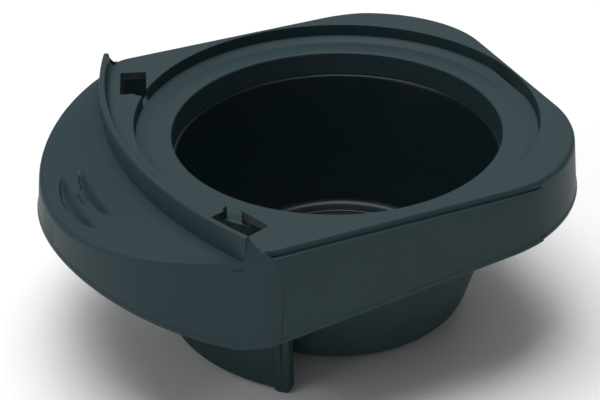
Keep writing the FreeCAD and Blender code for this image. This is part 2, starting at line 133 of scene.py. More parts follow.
class PlanSizes(PropertyGroup):
    """Outline of the holder and its drafted skirt."""
    half_width: length("Half width", "Skirt's half width at deck level", 30.4)
    deck_half: length("Deck half width", "Deck's straight sides", 29.9)
    rear_reach: length("Rear reach", "Skirt's rear at deck level", 29.75)
    rear_corner: length("Rear corner", "Plan radius of the rear corners", 18.6)
    front_centre: length("Front centre", "Front arc's centre, ahead of the bore", 10.5)
    front_radius: length("Front radius", "Front arc at deck level", 32.6)
    front_corner: length("Front corner", "Rounding between the front arc and the sides", 3.0)
    side_draft: turn("Side draft", "Outward lean of sides and rear", 4.5)
    front_draft: turn("Front draft", "Outward lean of the front", 7.0)
    wall: length("Wall", "Skirt's wall", 1.2)
    base_drop: length("Base drop", "Skirt's lower edge at the bore's axis", 11.1)
    base_slope: turn("Base slope", "Rise of the lower edge towards the rear", 6.5)
    front_seam: length("Front seam", "Seam between grip and cheeks", 21.5)
    rear_seam: length("Rear seam", "Seam between cheeks and deck shell", 17.0)
    seam_gap: length("Seam gap", "Open line at a seam", 0.06)
    seam_lean: turn("Seam lean", "Forward lean of the front seams", 6.3)
    rail_step: length("Rail step", "Slide shelf below the deck", 1.0)
    lip_height: length("Lip height", "Bead along the lower edges", 0.65)
    lip_stand: length("Lip stand", "How far that bead stands out", 0.12)


class DeckSizes(PropertyGroup):
    """Deck plate, recess and windows."""
    thickness: length("Thickness", "Deck plate", 1.2)
    side_round: length("Side round", "Rounding of the deck's straight edges", 0.15)
    corner_round: length("Corner round", "Rounding of the deck's rear corners", 0.8)
    back_round: length("Back round", "Rounding behind the recess", 0.24)
    recess_radius: length("Recess radius", "Recess round the capsule's rim", 29.3)
    recess_depth: length("Recess depth", "Seat below the deck", 2.35)
    recess_round: length("Recess round", "Rounding of the recess's upper edge", 0.18)
    collar_wall: length("Collar wall", "Wall round the recess", 0.8)
    window_length: length("Window length", "Along the rib", 6.96)
    window_width: length("Window width", "Across the rib", 3.89)
    window_x: length("Window ahead", "Window's centre ahead of the bore", 23.7)
    window_y: length("Window aside", "Window's centre to the side", 21.6)
    window_turn: turn("Window turn", "Turn from the cross direction", 19.5)
    window_notch: length("Window notch", "Depth of the windows and of the notch beside each", 1.83)
    notch_width: length("Notch width", "Notch between a window and the recess", 2.4)
    notch_bearing: turn("Notch bearing", "Notch's place round the recess from the front", 38.05)
    rim_break: length("Rim break", "Broken edge round openings", 0.07)


class GripSizes(PropertyGroup):
    """Finger grip: shoulder, rib and finger marks."""
    rib_radius: length("Rib radius", "Rib's front face in plan", 66.0)
    rib_front: length("Rib front", "Rib's front face ahead of the bore", 32.55)
    rib_wall: length("Rib wall", "Rib's thickness at its root", 1.0)
    rib_half: length("Rib half length", "Rib's ends either side of the middle", 28.9)
    rib_cove: length("Rib cove", "Hollow fillet behind the rib", 0.9)
    rib_tip: length("Rib tip", "Rounding of the rib's top", 0.28)
    web_length: length("Web length", "Web from the rib's front face to the shelf", 3.6)
    web_wall: length("Web wall", "Thickness of that web", 0.6)
    foot: length("Foot", "Shoulder at the rib, below the deck", 1.45)
    crease_drop: length("Crease drop", "Shoulder's outer edge below the deck, in the middle", 5.02)
    crease_round: length("Crease round", "Rounding of that edge", 0.8)
    dish: length("Dish", "Hollow of the shoulder", 0.3)
    arch_radius: length("Arch radius", "Arch of the grip's lower edge", 100.0)
    arch_drop: length("Arch drop", "Grip's lower edge below the deck", 9.8)
    mark_depth: length("Mark depth", "Depth of the finger marks", 0.75)


class CupSizes(PropertyGroup):
    """Seat ring, liner, cup housing and drip apron."""
    seat_radius: length("Seat radius", "Flat of the seat", 27.4)
    seat_rim: length("Seat rim", "Sloping rim round the seat", 0.55)
    seat_thickness: length("Seat thickness", "Seat ring's plate", 1.5)
    neck_wall: length("Neck wall", "Bore's wall below the seat", 1.4)
    liner_rim: length("Liner rim radius", "Liner's inside at its rim", 23.7)
    liner_floor: length("Liner floor radius", "Liner's inside at its floor", 17.8)
    liner_depth: length("Liner depth", "Liner's floor below the deck", 26.2)
    liner_wall: length("Liner wall", "Liner's wall and floor", 1.2)
    outlet: length("Outlet radius", "Outlet through liner and housing", 15.2)
    cup_radius: length("Cup radius", "Cup's outside under the seat ring", 27.39)
    cup_slope: turn("Cup slope", "Taper of the cup's outside", 17.31)
    cup_corner: length("Cup corner", "Rounding of the cup's bottom edge", 3.8)
    apron_radius: length("Apron radius", "Apron's outside", 26.4)
    apron_wall: length("Apron wall", "Apron's wall", 1.2)
    apron_depth: length("Apron depth", "Apron's lower edge below the deck", 31.0)
    apron_top: length("Apron top", "Apron's upper edge below the deck", 8.0)
    apron_reach: turn("Apron reach", "Either side of the front", 48.0)
    tab_width: length("Tab width", "Stiffening tab at each end of the apron", 2.45)
    tab_wall: length("Tab wall", "Tab's thickness", 1.7)
    tab_rise: length("Tab rise", "Tab's foot above the apron's lowest point", 0.5)
    tab_top: length("Tab top", "Tab's upper end below the deck", 12.0)


class FinishColours(PropertyGroup):
    """Moulded finishes and the floor."""
    shell: colour("Shell", "Satin anthracite moulding", (0.0170, 0.0345, 0.0400))
    shell_worn: colour("Shell, rubbed", "Where the satin is rubbed", (0.0230, 0.0430, 0.0500))
    shell_rough: amount("Shell roughness", "Satin", 0.44)
    # Near black, far darker than the shell: the liner's own dark moulding, made darker still as
    # painted shade for the inside of the bore.
    liner: colour("Liner", "Dark liner moulding", (0.0036, 0.0088, 0.0112))
    liner_worn: colour("Liner, rubbed", "Where the liner is rubbed", (0.0062, 0.0130, 0.0160))
    liner_rough: amount("Liner roughness", "Half gloss", 0.29)
    floor: colour("Floor", "Plain pale floor", (0.86, 0.86, 0.86))


class StageSizes(PropertyGroup):
    """Camera, floor, and the steps round a turned piece."""
    eye: FloatVectorProperty(name="Eye", description="Camera's place", subtype="TRANSLATION",
                             unit="LENGTH", default=(-0.088997, -0.19722, 0.120011))
    heading: turn("Heading", "Camera's turn about Z", -22.812)
    elevation: turn("Elevation", "Camera's look down", 31.47)
    roll: turn("Roll", "Camera's roll", -1.395)
    lens: FloatProperty(name="Lens", description="Focal length in millimetres", default=101.83,
                        min=10.0)
    floor_size: length("Floor size", "Side of the square floor", 3000.0)
    samples_round: IntProperty(name="Steps round", description="Faces round a turned piece",
                               default=180, min=24)


GROUPS = (PlanSizes, DeckSizes, GripSizes, CupSizes, FinishColours, StageSizes)


def sizes(group):
    """The scene's values of one property group."""
    return getattr(bpy.context.scene, group)


# ---------------------------------------------------------------- small tools

def mix(first, second, share):
    """Value or point a share of the way from first to second."""
    return first + (second - first) * share


def eased(share):
    """Share from 0 to 1 that starts and ends softly."""
    share = min(max(share, 0.0), 1.0)
    return share * share * (3 - 2 * share)


def ramp(value, start, end):
    """Soft rise from 0 at start to 1 at end."""
    return eased((value - start) / (end - start))


def steps(count):
    """Shares from 0 to 1 in equal steps, both ends included."""
    return [index / count for index in range(count + 1)]


def new_piece(name, bm):
    """Object at the origin that holds a bmesh, linked into the scene."""
    mesh = bpy.data.meshes.new(name)
    bm.to_mesh(mesh)
    bm.free()
    piece = bpy.data.objects.new(name, mesh)
    bpy.context.scene.collection.objects.link(piece)
    return piece


def applied(piece):
    """Piece with its modifiers worked into its mesh."""
    graph = bpy.context.evaluated_depsgraph_get()
    mesh = bpy.data.meshes.new_from_object(piece.evaluated_get(graph))
    piece.modifiers.clear()
    old = piece.data
    piece.data = mesh
    bpy.data.meshes.remove(old)
    mesh.name = piece.name
    return piece


def carved(piece, operation, tool):
    """Piece joined with, or cut by, a closed tool, which is then dropped."""
    step = piece.modifiers.new(operation.title(), "BOOLEAN")
    step.operation = operation
    step.solver = "EXACT"
    step.object = tool
    applied(piece)
    mesh = tool.data
    bpy.data.objects.remove(tool)
    bpy.data.meshes.remove(mesh)
    return piece


def merged(bm):
    """Mesh without double points or slivers."""
    bmesh.ops.remove_doubles(bm, verts=bm.verts, dist=MERGE)
    bmesh.ops.dissolve_degenerate(bm, edges=bm.edges, dist=SLIVER)
    return bm


def closed(bm):
    """Merged mesh with every face turned outwards."""
    merged(bm)
    bmesh.ops.recalc_face_normals(bm, faces=bm.faces)
    return bm


def rounded(bm, geometry, width, segments, affect="EDGES"):
    """Even rounding, or a chamfer, of some edges or corners."""
    bmesh.ops.bevel(bm, geom=geometry, offset=width, offset_type="OFFSET", segments=segments,
                    profile=0.5, affect=affect, material=-1)


def kept_within(verts, side, rear):
    """Points drawn in between the two sides and short of the rear."""
    for vert in verts:
        vert.co.y = min(max(vert.co.y, -side), side)
        vert.co.x = min(vert.co.x, rear)


def broken_edges(piece, width):
    """Fine rounding on a piece's sharp edges."""
    bevel = piece.modifiers.new("Broken edges", "BEVEL")
    bevel.width = width
    bevel.segments = 2
    bevel.limit_method = "ANGLE"
    bevel.angle_limit = BREAK_ANGLE


def finished(piece, node, material):
    """Piece that stands for a CAD node, with its finish, riding on the one body."""
    applied(piece)
    piece.data.materials.clear()
    piece.data.materials.append(material)
    for face in piece.data.polygons:
        face.use_smooth = True
        face.material_index = 0
    piece.data.set_sharp_from_angle(angle=SMOOTH_ANGLE)
    even = piece.modifiers.new("Even shading", "WEIGHTED_NORMAL")
    even.keep_sharp = True
    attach(piece, "root")
    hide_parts(node)
    return piece


def wrapped(bm, stations, rows, place):
    """Sheet of quads: a column for each station and a row for each step of its profile."""
    grid = bmesh.ops.create_grid(bm, x_segments=len(stations) - 1, y_segments=rows - 1, size=1.0)
    for vert in grid["verts"]:
        column = round((vert.co.x + 1) / 2 * (len(stations) - 1))
        row = round((vert.co.y + 1) / 2 * (rows - 1))
        vert.co = place(stations[column], row)


def drawn_shell(node, columns, wall, outwards, material):
    """Sheet through all columns of points, turned outwards and given its wall."""
    bm = bmesh.new()
    wrapped(bm, columns, len(columns[0]), lambda column, row: column[row])
    bm.normal_update()
    if sum(face.normal.dot(outwards) * face.calc_area() for face in bm.faces) < 0:
        bmesh.ops.reverse_faces(bm, faces=bm.faces)
    piece = new_piece(f"{node}_moulding", bm)
    solid = piece.modifiers.new("Wall", "SOLIDIFY")
    solid.thickness = wall
    solid.offset = -1.0
    solid.use_even_offset = False
    return finished(piece, node, material)


def turned(corners, count, reach=math.tau, start=0.0):
    """Turned shape: a closed profile of (radius, depth, rounding) corners spun about Z."""
    bm = bmesh.new()
    verts = [bm.verts.new((radius, 0.0, DECK - depth)) for radius, depth, _ in corners]
    for index, vert in enumerate(verts):
        bm.edges.new((verts[index - 1], vert))
    for vert, (_, _, rounding) in zip(verts, corners):
        if rounding > 0:
            rounded(bm, [vert], rounding, 5, "VERTICES")
    whole = reach > math.tau - MERGE
    bmesh.ops.rotate(bm, verts=bm.verts, cent=(0, 0, 0), matrix=Matrix.Rotation(start, 3, "Z"))
    bmesh.ops.spin(bm, geom=bm.verts[:] + bm.edges[:], cent=(0, 0, 0), axis=(0, 0, 1),
                   angle=reach, steps=count, use_merge=whole, use_duplicate=False)
    if not whole:
        ends = [edge for edge in bm.edges if edge.is_boundary]
        bmesh.ops.holes_fill(bm, edges=ends, sides=0)
    return closed(bm)


def block(name, size, centre, heading=0.0):
    """Plain closed block used as a cutting tool."""
    bm = bmesh.new()
    bmesh.ops.create_cube(bm, size=1.0)
    bmesh.ops.scale(bm, vec=size, verts=bm.verts)
    bmesh.ops.rotate(bm, verts=bm.verts, cent=(0, 0, 0), matrix=Matrix.Rotation(heading, 3, "Z"))
    bmesh.ops.translate(bm, vec=centre, verts=bm.verts)
    return new_piece(name, bm)


# ---------------------------------------------------------------- the holder's outline

def side_half(plan, depth):
    """Skirt's half width at a depth."""
    return plan.half_width + depth * math.tan(plan.side_draft)


def lower_edge(plan, x):
    """Depth of the sloping lower edge of cheeks and rear skirt."""
    return plan.base_drop - x * math.tan(plan.base_slope)


def rear_rim(plan, share, depth):
    """Rear half of the outline on the +Y side: rear corner from its start (0) to its end (1)."""
    flare = depth * math.tan(plan.side_draft)
    angle = share * math.pi / 2
    centre = Vector((plan.rear_reach + flare - plan.rear_corner,
                     plan.half_width + flare - plan.rear_corner))
    normal = Vector((math.sin(angle), math.cos(angle)))
    return centre + normal * plan.rear_corner, normal


def corner_share(plan, x, depth):
    """Share of the rear corner at which the outline reaches a given x."""
    flare = depth * math.tan(plan.side_draft)
    centre = plan.rear_reach + flare - plan.rear_corner
    return math.asin(min(max((x - centre) / plan.rear_corner, 0.0), 1.0)) / (math.pi / 2)


def front_seam_x(plan, depth):
    """Place of the front seams, which lean forward with depth."""
    return -plan.front_seam - (depth - plan.base_drop / 2) * math.tan(plan.seam_lean)


def grip_rim(plan, way, depth):
    """Skirt round the grip: way 0 is the seam, 1 to 2 the front corner, and 3 the middle."""
    half = side_half(plan, depth)
    radius = plan.front_radius + depth * math.tan(plan.front_draft)
    corner = plan.front_corner
    centre_y = half - corner
    run = math.sqrt((radius - corner) ** 2 - centre_y ** 2)
    centre = Vector((-plan.front_centre - run, centre_y))
    reach = math.atan2(centre_y, run)
    if way <= 1:
        return Vector((mix(front_seam_x(plan, depth), centre.x, way), half)), Vector((0.0, 1.0))
    if way <= 2:
        angle = mix(math.pi / 2, reach, way - 1)
        normal = Vector((-math.cos(angle), math.sin(angle)))
        return centre + normal * corner, normal
    angle = reach * (3 - way) ** 1.5
    normal = Vector((-math.cos(angle), math.sin(angle)))
    return Vector((-plan.front_centre, 0.0)) + normal * radius, normal


def front_side(plan, x, depth):
    """Half width of the grip's outline at one x: side, front corner or front arc."""
    half = side_half(plan, depth)
    radius = plan.front_radius + depth * math.tan(plan.front_draft)
    corner = plan.front_corner
    run = math.sqrt((radius - corner) ** 2 - (half - corner) ** 2)
    centre = -plan.front_centre - run
    if x >= centre:
        return half
    if x >= centre - corner * run / (radius - corner):
        return half - corner + math.sqrt(corner ** 2 - (x - centre) ** 2)
    return math.sqrt(radius ** 2 - (x + plan.front_centre) ** 2)


def lip_rows(plan):
    """Profile of the bead along a lower edge: (height above the edge, stand-out)."""
    return [(plan.lip_height * up, plan.lip_stand * out) for up, out in LIP_PROFILE]


# ---------------------------------------------------------------- deck shell

def curved(first, knee, last, share):
    """Point and outward normal on the curve from first to last that is drawn towards a knee."""
    point = mix(mix(first, knee, share), mix(knee, last, share), share)
    along = mix(knee - first, last - knee, share).normalized()
    return point, Vector((-along.y, along.x))


def deck_half_outline(plan, deck, grip):
    """Stations from the front middle to the back middle on the +Y side."""
    stations = []
    sideways = Vector((0.0, 1.0))
    rearwards = Vector((1.0, 0.0))

    def add(point, normal, edge, skirt=False):
        bottom = lower_edge(plan, point.x) if skirt else deck.thickness
        stations.append({"point": point, "normal": normal, "edge": edge, "bottom": bottom,
                         "skirt": skirt})

    back = grip.rib_radius - grip.rib_wall
    centre = grip.rib_radius - grip.rib_front
    short_of_end = 0.4 * MM
    reach = math.asin((grip.rib_half - short_of_end) / back)
    for share in steps(28):
        angle = reach * share
        normal = Vector((-math.cos(angle), math.sin(angle)))
        add(Vector((centre, 0.0)) + normal * back, normal, deck.side_round)
    first = stations[-1]["point"]
    corner = Vector((-plan.front_seam - 0.3 * MM, plan.deck_half))
    knee = corner - Vector((1.9 * MM, 0.12 * MM))
    for share in steps(10)[1:]:
        point, normal = curved(first, knee, corner, share)
        add(point, normal, deck.side_round)
    shelf = plan.half_width - plan.deck_half
    meets = 1 - math.acos(1 - shelf / plan.rear_corner) / (math.pi / 2)
    leave = rear_rim(plan, 1 - meets, 0.0)[0]
    blend = leave - Vector((4.5 * MM, 0.0))
    for share in steps(24):
        add(Vector((mix(corner.x, blend.x, share), plan.deck_half)), sideways, deck.side_round)
    seam = corner_share(plan, plan.rear_seam, 0.0)
    end = rear_rim(plan, seam, 0.0)[0]
    at_seam = 0.7    # share of the corner's rounding that the seam has
    for share in steps(14)[1:]:
        point, normal = curved(blend, leave, end, share)
        add(point, normal, mix(deck.side_round, deck.corner_round, eased(share) * at_seam))
    for share in steps(36):
        point, normal = rear_rim(plan, mix(seam, 1.0, share), 0.0)
        swell = mix(at_seam, 1.0, ramp(share, 0.0, 0.25))
        edge = mix(deck.corner_round * swell, deck.back_round, eased(share * 1.7 - 0.7))
        add(point, normal, edge, True)
    end = stations[-1]["point"]
    for share in steps(10)[1:]:
        add(Vector((end.x, mix(end.y, 0.0, share))), rearwards, deck.back_round, True)
    return stations


def mirrored(stations):
    """A half outline and its mirror image, as one closed run."""
    other = []
    for station in reversed(stations):
        point, normal = station["point"], station["normal"]
        other.append(dict(station, point=Vector((point.x, -point.y)),
                          normal=Vector((normal.x, -normal.y))))
    return stations + other


def deck_profile(plan, deck, station):
    """Rows down the deck's edge at one station: (stand-out, depth)."""
    edge = station["edge"]
    slope = math.tan(plan.side_draft) if station["skirt"] else 0.0
    bottom = station["bottom"]
    rows = []
    for share in steps(6):
        angle = math.pi / 2 * share
        rows.append((edge * (math.sin(angle) - 1), edge * (1 - math.cos(angle))))
    if station["skirt"]:
        rows += [(slope * (bottom - up) + out, bottom - up) for up, out in lip_rows(plan)]
        rows.append((slope * bottom - plan.wall, bottom))
        rows.append((slope * deck.thickness - plan.wall, deck.thickness))
    else:
        rows += [(0.0, bottom)] * (len(lip_rows(plan)) + 2)
    return rows


def build_deck(plan, deck, grip, material, count):
    """Deck plate with its rear skirt, the collar round the recess, and the windows."""
    bm = bmesh.new()
    stations = mirrored(deck_half_outline(plan, deck, grip))
    profiles = {id(station): deck_profile(plan, deck, station) for station in stations}
    rows = len(profiles[id(stations[0])])

    def place(station, row):
        out, depth = profiles[id(station)][row]
        spot = station["point"] + station["normal"] * out
        return Vector((spot.x, spot.y, DECK - depth))

    wrapped(bm, stations, rows, place)
    merged(bm)
    for level in (DECK, DECK - deck.thickness):
        rim = [edge for edge in bm.edges if edge.is_boundary
               and all(abs(vert.co.z - level) < MERGE for vert in edge.verts)]
        bmesh.ops.triangle_fill(bm, edges=rim, use_beauty=True, use_dissolve=False)
    bmesh.ops.recalc_face_normals(bm, faces=bm.faces)
    piece = new_piece("deck_shell_moulding", bm)

    inside, outside = deck.recess_radius - MM, deck.recess_radius + deck.collar_wall
    high, low = deck.thickness * 0.5, deck.recess_depth + COLLAR_SINK
    collar = turned(((inside, high, 0), (inside, low, 0), (outside, low, 0), (outside, high, 0)),
                    count)
    kept_within(collar.verts, plan.deck_half - 0.3 * MM, plan.rear_reach - 0.1 * MM)
    carved(piece, "UNION", new_piece("collar", collar))
    ease = deck.recess_round
    radius, mouth = deck.recess_radius, deck.recess_radius + ease
    under = deck.recess_depth + CUT_PAST
    bowl = turned(((0.0, under, 0), (radius, under, 0), (radius, ease, 0),
                   (radius + ease * 0.3, ease * 0.3, 0), (mouth, 0.0, 0), (mouth, -CUT_PAST, 0),
                   (0.0, -CUT_PAST, 0)), count)
    carved(piece, "DIFFERENCE", new_piece("recess_cut", bowl))
    window = (deck.window_width, deck.window_length, 2 * deck.window_notch)
    notch = (NOTCH_REACH, deck.notch_width, 2 * deck.window_notch)
    reach = deck.recess_radius + NOTCH_OUT
    for sign in (1, -1):
        centre = (-deck.window_x, sign * deck.window_y, DECK)
        carved(piece, "DIFFERENCE", block("window_cut", window, centre, -sign * deck.window_turn))
        bearing = math.pi - sign * deck.notch_bearing
        centre = (reach * math.cos(bearing), reach * math.sin(bearing), DECK)
        carved(piece, "DIFFERENCE", block("notch_cut", notch, centre, bearing))
    broken_edges(piece, deck.rim_break)
    return finished(piece, "deck_shell", material)


# ---------------------------------------------------------------- seat ring, liner, cup, apron

def build_seat(plan, deck, cup, material, count):
    """Seat ring: bore wall, flat seat and its sloping rim."""
    seat = deck.recess_depth
    under = seat + cup.seat_thickness
    neck = BORE_RADIUS + cup.neck_wall
    rim = deck.recess_radius - CLEAR
    foot = seat + COLLAR_SINK
    outside = deck.recess_radius + deck.collar_wall
    bm = turned(((BORE_RADIUS, seat, 0.3 * MM), (cup.seat_radius, seat, 0.25 * MM),
                 (rim - 0.25 * MM, seat - cup.seat_rim, 0.08 * MM),
                 (rim, seat - cup.seat_rim, 0.03 * MM), (rim, foot, 0), (outside, foot, 0),
                 (outside, under, 0.15 * MM), (neck, under, 0.3 * MM), (neck, LINER_RIM, 0),
                 (BORE_RADIUS, LINER_RIM, 0)), count)
    side = side_half(plan, seat) - plan.wall - CLEAR
    rear = plan.rear_reach + seat * math.tan(plan.side_draft) - plan.wall - CLEAR
    kept_within([vert for vert in bm.verts if vert.co.xy.length > cup.seat_radius], side, rear)
    piece = new_piece("seat_ring_moulding", bm)
    return finished(piece, "seat_ring", material)


def build_liner(cup, material, count):
    """Liner: rounded rim, tapering wall, floor ring and outlet."""
    wall = cup.liner_wall
    floor = cup.liner_depth
    bm = turned(((cup.liner_rim, LINER_RIM, 0.42 * MM),
                 (cup.liner_rim + wall, LINER_RIM, 0.1 * MM),
                 (cup.liner_floor + wall, floor + wall, 0.8 * MM), (cup.outlet, floor + wall, 0),
                 (cup.outlet, floor, 0.3 * MM), (cup.liner_floor, floor, 0.9 * MM)), count)
    return finished(new_piece("cup_liner_moulding", bm), "cup_liner", material)


def build_cup(deck, cup, material, count):
    """Cup housing: tapering outside with a rounded foot, open at its outlet."""
    top = deck.recess_depth + cup.seat_thickness
    foot = cup.cup_radius - (CUP_BOTTOM - top) * math.tan(cup.cup_slope)
    neck = BORE_RADIUS + cup.neck_wall + CLEAR
    inner = cup.liner_depth + cup.liner_wall + CLEAR
    gap = cup.liner_wall + CLEAR
    bm = turned(((neck, top, 0), (cup.cup_radius, top, 0.1 * MM),
                 (foot, CUP_BOTTOM, cup.cup_corner * 0.62), (cup.outlet, CUP_BOTTOM, 0.3 * MM),
                 (cup.outlet, inner, 0), (cup.liner_floor + gap, inner, 0.8 * MM),
                 (cup.liner_rim + gap, LINER_RIM, 0), (neck, LINER_RIM, 0)), count)
    return finished(new_piece("cup_housing_moulding", bm), "cup_housing", material)


def apron_tab(cup, sign):
    """Stiffening tab at an end of the apron: chamfered foot, tapering groove down its face."""
    bm = bmesh.new()
    tall = APRON_BOTTOM - cup.tab_rise - cup.tab_top
    bmesh.ops.create_cube(bm, size=1.0)
    bmesh.ops.scale(bm, vec=(cup.tab_wall, cup.tab_width, tall), verts=bm.verts)
    foot = [edge for edge in bm.edges if edge.verts[0].co.z < 0 and edge.verts[1].co.z < 0
            and abs(edge.verts[0].co.y - edge.verts[1].co.y) < SAME]
    rounded(bm, foot, cup.tab_width * 0.27, 2)
    face = cup.tab_wall / 2
    sharp = [edge for edge in bm.edges if all(vert.co.x > face - SAME for vert in edge.verts)
             and edge.calc_face_angle(0.0) > 1.0]
    rounded(bm, sharp, 0.25 * MM, 3)
    radius = cup.apron_radius - cup.apron_wall + face - 0.2 * MM
    bmesh.ops.translate(bm, vec=(radius, 0, DECK - cup.tab_top - tall / 2), verts=bm.verts)
    groove = bmesh.new()
    bmesh.ops.create_cone(groove, cap_ends=True, segments=4, radius1=0.0, radius2=0.75 * MM,
                          depth=tall * 1.04)
    bmesh.ops.remove_doubles(groove, verts=groove.verts, dist=SLIVER)
    groove_centre = (radius + face + CLEAR, 0, DECK - cup.tab_top - tall * 0.45)
    bmesh.ops.translate(groove, vec=groove_centre, verts=groove.verts)
    tab = new_piece("tab", bm)
    carved(tab, "DIFFERENCE", new_piece("groove", groove))
    tab.data.transform(Matrix.Rotation(math.pi - sign * cup.apron_reach, 4, "Z"))
    return tab


def build_apron(deck, cup, material):
    """Drip apron round the front of the cup, with a tab at each end."""
    top = deck.recess_depth + cup.seat_thickness
    slope = math.tan(cup.cup_slope)
    inside = cup.apron_radius - cup.apron_wall
    on_cup = cup.cup_radius - (cup.apron_top - top) * slope
    leaves = top + (cup.cup_radius - inside) / slope
    edge = 0.35 * MM
    bm = turned(((cup.apron_radius, cup.apron_depth, edge), (cup.apron_radius, cup.apron_top, 0),
                 (on_cup, cup.apron_top, 0), (inside, leaves, 0), (inside, cup.apron_depth, edge)),
                96, 2 * cup.apron_reach, math.pi - cup.apron_reach)
    piece = new_piece("drip_apron_moulding", bm)
    for sign in (1, -1):
        carved(piece, "UNION", apron_tab(cup, sign))
    return finished(piece, "drip_apron", material)


# ---------------------------------------------------------------- grip: rib, shoulder, skirt

def rib_gusset(plan, grip, sign):
    """Web flush with the skirt that closes the rib's end and runs down over the shelf's end."""
    centre = grip.rib_radius - grip.rib_front
    power = grip.rib_radius ** 2 - plan.front_radius ** 2
    meets = (power - centre ** 2 + plan.front_centre ** 2) / (-2 * (centre + plan.front_centre))
    first, last = meets + 0.02 * MM, meets + grip.web_length
    low = grip.foot + 0.35 * MM
    tall = RIB_TOP - 0.1 * MM
    square = 0.35 * MM / grip.web_length
    lands = 2.1 * MM / grip.web_length
    rows = 5

    def place(station, row):
        x = mix(first, last, station)
        if station < square:
            top = tall
        elif station < lands:
            top = tall * (1 - (station - square) / (lands - square)) ** 1.6
        else:
            top = -(plan.rail_step + 0.15 * MM) * ramp(station, lands, 1)
        depth = mix(low, -top, row / (rows - 1))
        return Vector((x, sign * (front_side(plan, x, depth) - 0.03 * MM), DECK - depth))

    bm = bmesh.new()
    wrapped(bm, steps(40), rows, place)
    wall = bmesh.ops.extrude_face_region(bm, geom=bm.faces[:])
    for item in wall["geom"]:
        if isinstance(item, bmesh.types.BMVert):
            item.co.x += grip.web_wall * 0.42
            item.co.y -= sign * grip.web_wall * 0.9
    return new_piece("gusset", closed(bm))


def build_rib(plan, grip, material):
    """Curved stop rib with a hollow fillet behind it and a web at each end."""
    tall = -RIB_TOP
    front = grip.rib_radius
    back = front - grip.rib_wall
    cove = grip.rib_cove
    root = grip.foot + 1.1 * MM
    hollow = []
    for share in steps(7):
        angle = math.pi / 2 * share
        radius = back - cove * (1 - math.sin(angle))
        hollow.append((radius, -cove * (1 - math.cos(angle)) * 1.25, 0.0))
    reach = math.asin(grip.rib_half / front)
    bm = turned(((front, root, 0), (front - 0.06 * MM, tall, grip.rib_tip),
                 (back + 0.14 * MM, tall, grip.rib_tip * 0.8), *reversed(hollow),
                 (back - cove, 0.1 * MM, 0), (back + 0.02 * MM, 0.12 * MM, 0),
                 (back + 0.02 * MM, root, 0)), 140, 2 * reach, math.pi - reach)
    bmesh.ops.translate(bm, vec=(grip.rib_radius - grip.rib_front, 0, 0), verts=bm.verts)
    piece = new_piece("stop_rib_moulding", bm)
    for sign in (1, -1):
        carved(piece, "UNION", rib_gusset(plan, grip, sign))
    broken_edges(piece, 0.1 * MM)
    return finished(piece, "stop_rib", material)


# A finger mark is a crescent between two arcs in plan: outer arc's middle x and radius, inner
# arc's middle x and radius, middle y and half length, all in millimetres, and its depth as a
# share of the deepest.
FINGER_MARKS = (
    (-41.40, 19.0, -39.90, 90.0, -1.0, 8.6, 1.0),
    (-38.40, 23.0, -37.25, 60.0, -0.8, 7.2, 1.0),
    (-39.35, 20.0, -39.05, 40.0, -0.6, 2.4, 0.3),
)
# Across a mark its steep wall and its gentle side run between these shares of its width.
MARK_STEEP = (-0.25, 0.10)
MARK_GENTLE = (0.25, 1.15)
MARK_FADE = 1 / 2.2       # share of its half length over which it fades out
MARK_NARROWEST = 0.12     # width at its ends, in millimetres


def mark_hollow(grip, x, y):
    """Depth of the finger marks at one place in plan."""
    deepest = 0.0
    for outer_x, outer_radius, inner_x, inner_radius, middle, half, strength in FINGER_MARKS:
        across = y / MM - middle
        away = across / half
        if abs(away) >= 1:
            continue
        outer = outer_x + outer_radius - math.sqrt(outer_radius ** 2 - across ** 2)
        inner = inner_x + inner_radius - math.sqrt(inner_radius ** 2 - across ** 2)
        inner = max(inner, outer + MARK_NARROWEST)
        share = (x / MM - outer) / (inner - outer)
        section = ramp(share, *MARK_STEEP) * (1 - ramp(share, *MARK_GENTLE))
        fade = ramp(1 - abs(away), 0.0, MARK_FADE)
        deepest = max(deepest, grip.mark_depth * strength * section * fade)
    return deepest


# How the shoulder's outer edge rises away from the grip's middle: with the square of the
# distance aside, for each metre, and with the distance back.
CREASE_BOW = 5.0
CREASE_LIFT = 0.024
SETTLING = 6    # rounds in which the edge's depth and its place in plan are settled together


def crease_depth(plan, grip, point):
    """Depth of the shoulder's outer edge at one place of the outline."""
    middle = plan.front_centre + plan.front_radius
    rise = CREASE_BOW * point.y ** 2 - CREASE_LIFT * (point.x + middle)
    return max(grip.crease_drop - rise, plan.rail_step)


def shoulder_start(plan, grip, way):
    """Inner edge of the shoulder: slide shelf round the corner, then the rib's front face."""
    shelf = plan.half_width - plan.deck_half
    level = plan.rail_step
    if way <= 2:
        point, normal = grip_rim(plan, way, level)
        spot = point - normal * shelf
        return Vector((spot.x, spot.y, -level))
    centre = grip.rib_radius - grip.rib_front
    end = Vector((centre - math.sqrt(grip.rib_radius ** 2 - grip.rib_half ** 2), grip.rib_half))
    end_angle = math.atan2(end.y, -end.x - plan.front_centre)
    point, normal = grip_rim(plan, way, level)
    angle = math.atan2(normal.y, -normal.x)
    corner, corner_normal = grip_rim(plan, 2, level)
    corner_angle = math.atan2(corner_normal.y, -corner_normal.x)
    foot = min(grip.foot, crease_depth(plan, grip, point) - 0.04 * MM)
    if angle >= end_angle:
        share = ramp(angle, end_angle, corner_angle)
        spot = point - normal * mix(0.1 * MM, shelf, share)
        return Vector((spot.x, spot.y, -mix(foot, level, share)))
    y = grip.rib_half * math.sin(angle) / math.sin(end_angle)
    x = centre - math.sqrt(grip.rib_radius ** 2 - y ** 2) + 0.2 * MM * eased(way * 4 - 8.4)
    return Vector((x, y, -foot))


SHOULDER_ROWS = 62
CREASE_ROWS = 9


